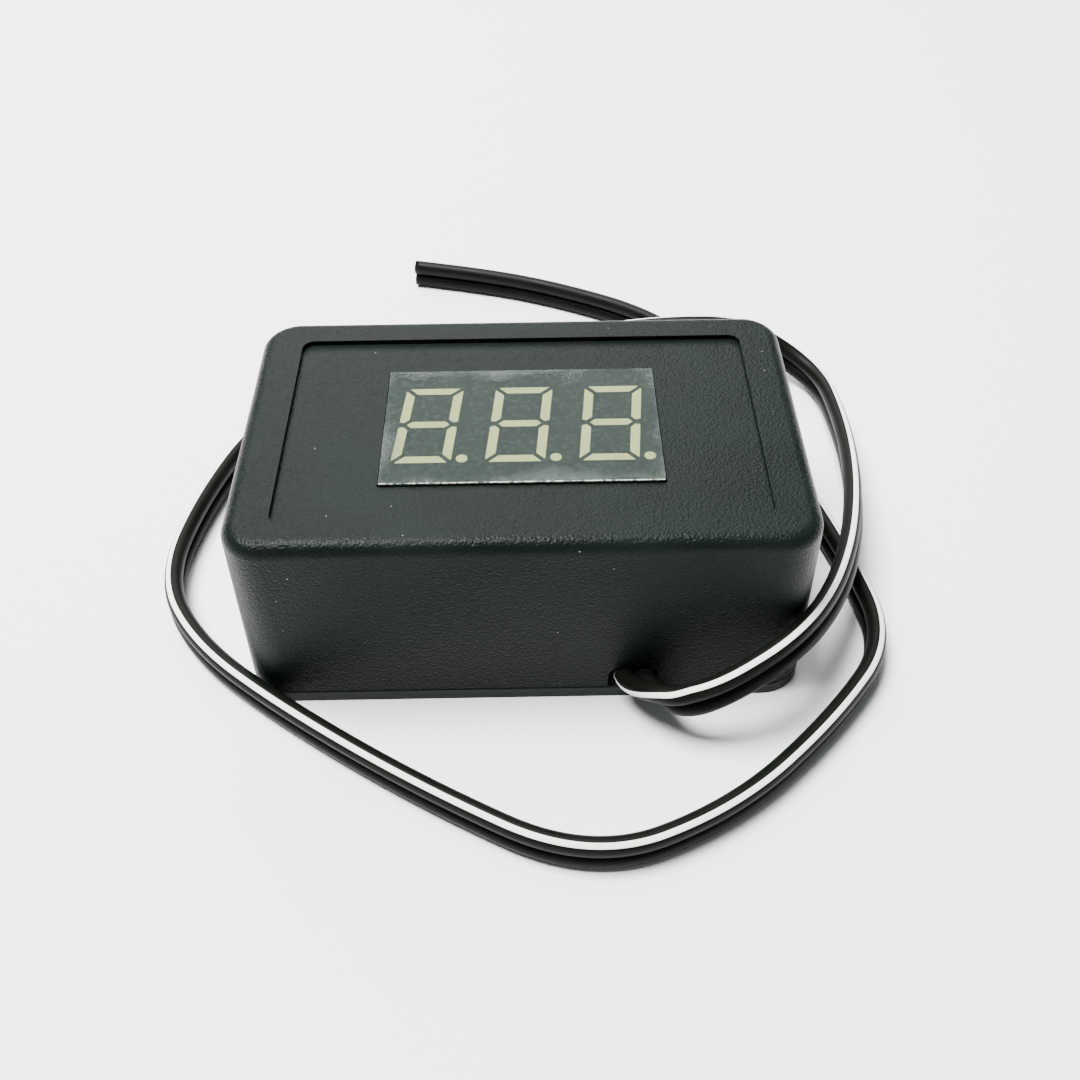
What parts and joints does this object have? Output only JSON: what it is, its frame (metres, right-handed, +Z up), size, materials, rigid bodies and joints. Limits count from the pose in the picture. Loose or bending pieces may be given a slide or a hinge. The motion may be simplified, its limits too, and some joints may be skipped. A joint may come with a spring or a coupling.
{
  "type": "boxed battery voltmeter",
  "caption": "Small black boxed voltmeter for batteries: rounded case, segment LED display in the top, flat base plate, and a thin flat twin lead that loops round it.",
  "frame": {"origin": "middle of the case's base, on the surface it stands on", "axes": "+X along the case's length, +Y away from the side that the lead leaves, +Z up"},
  "size_m": [0.0664, 0.0795, 0.018],
  "materials": {
    "case_plastic": "fine-grained moulded black ABS",
    "base_plastic": "fine-grained moulded black ABS, slightly smoother",
    "screw_steel": "black-oxide steel screw",
    "display_plastic": "glossy dark grey display body",
    "segment_resin": "pale grey-green cast resin",
    "face_film": "clear glossy film with light haze",
    "laminate_white": "pale fibreglass laminate",
    "led_chip": "bare LED die",
    "tinned_pin": "tinned display pin",
    "board_laminate": "green solder-masked fibreglass board",
    "solder": "bright solder",
    "chip_epoxy": "matte black chip epoxy",
    "lead_frame": "tinned copper lead",
    "tantalum_yellow": "moulded tantalum capacitor",
    "capacitor_ceramic": "tan fired ceramic",
    "resistor_ceramic": "black glazed chip resistor",
    "trimmer_plastic": "blue moulded trimmer housing",
    "trimmer_ceramic": "white alumina substrate",
    "rotor_brass": "slotted brass rotor",
    "core_pvc": "black PVC core insulation",
    "copper_tinned": "twisted copper strands",
    "hot_glue": "milky hot-melt glue",
    "lead_pvc": "black PVC twin flex with one white stripe"
  },
  "bodies": {
    "meter": {"base_plate": "base_plastic", "base_screws": "screw_steel", "board_screws": "screw_steel", "case_shell": "case_plastic", "ceramic_capacitors": "capacitor_ceramic", "chip_resistors": "resistor_ceramic", "circuit_board": "board_laminate", "conductor_negative": "copper_tinned", "conductor_positive": "copper_tinned", "controller_chip": "chip_epoxy", "controller_leads": "lead_frame", "core_negative": "core_pvc", "core_positive": "core_pvc", "digit_1_segments": "segment_resin", "digit_2_segments": "segment_resin", "digit_3_segments": "segment_resin", "diode_terminals": "lead_frame", "display_housing": "display_plastic", "display_pins": "tinned_pin", "face_film": "face_film", "glue_block": "hot_glue", "led_carrier": "laminate_white", "led_dies": "led_chip", "protection_diode": "chip_epoxy", "regulator_leads": "lead_frame", "solder_joints": "solder", "tantalum_capacitor": "tantalum_yellow", "trimmer_body": "trimmer_plastic", "trimmer_element": "trimmer_ceramic", "trimmer_leads": "lead_frame", "twin_lead": "lead_pvc", "voltage_regulator": "chip_epoxy"},
    "rotor": {"trimmer_rotor": "rotor_brass"}
  },
  "joints": [
    {"name": "trimmer_turn", "type": "hinge", "parent": "meter", "child": "rotor", "pos_m": [-0.0086, -0.0007, 0.0075], "axis": [0, 0, 1], "range_deg": [-130, 130]}
  ]
}
